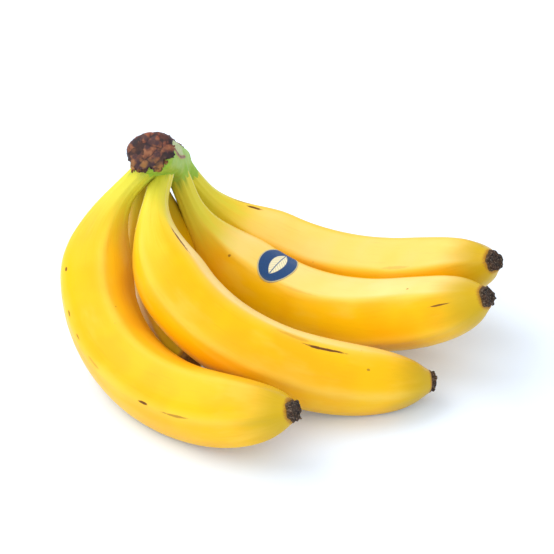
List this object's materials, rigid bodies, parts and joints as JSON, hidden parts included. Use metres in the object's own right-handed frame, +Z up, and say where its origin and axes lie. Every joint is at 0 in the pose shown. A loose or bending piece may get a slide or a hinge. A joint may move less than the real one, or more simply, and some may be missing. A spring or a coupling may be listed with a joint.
{
  "type": "bunch of bananas",
  "caption": "Bunch of ripe dessert bananas lying on its side, curved ridged fingers joined by green necks at a dry woody crown, with dark blossom ends and a small oval label.",
  "frame": {"origin": "middle of the bunch's box in plan, on the surface that it lies on", "axes": "+X from the crown towards the blossom ends, as the bunch lies; +Y to the back; +Z up"},
  "size_m": [0.2134, 0.1776, 0.1076],
  "materials": {
    "peel": "waxy satin banana skin, saturated yellow, green at the neck and olive at the tip, with brown rubs on the ridges",
    "crown_bark": "dry, flaking dark brown cut stalk with a pale green fresh patch",
    "blossom_husk": "dry, matt, blackish brown flower remnant",
    "sticker_film": "smooth printed label, dark blue with a plain cream leaf"
  },
  "bodies": {
    "root": {"banana_1": "peel", "banana_2": "peel", "banana_3": "peel", "banana_4": "peel", "banana_5": "peel", "crown": "crown_bark", "blossom_end_1": "blossom_husk", "blossom_end_2": "blossom_husk", "blossom_end_3": "blossom_husk", "blossom_end_4": "blossom_husk", "blossom_end_5": "blossom_husk", "sticker": "sticker_film"}
  },
  "joints": []
}
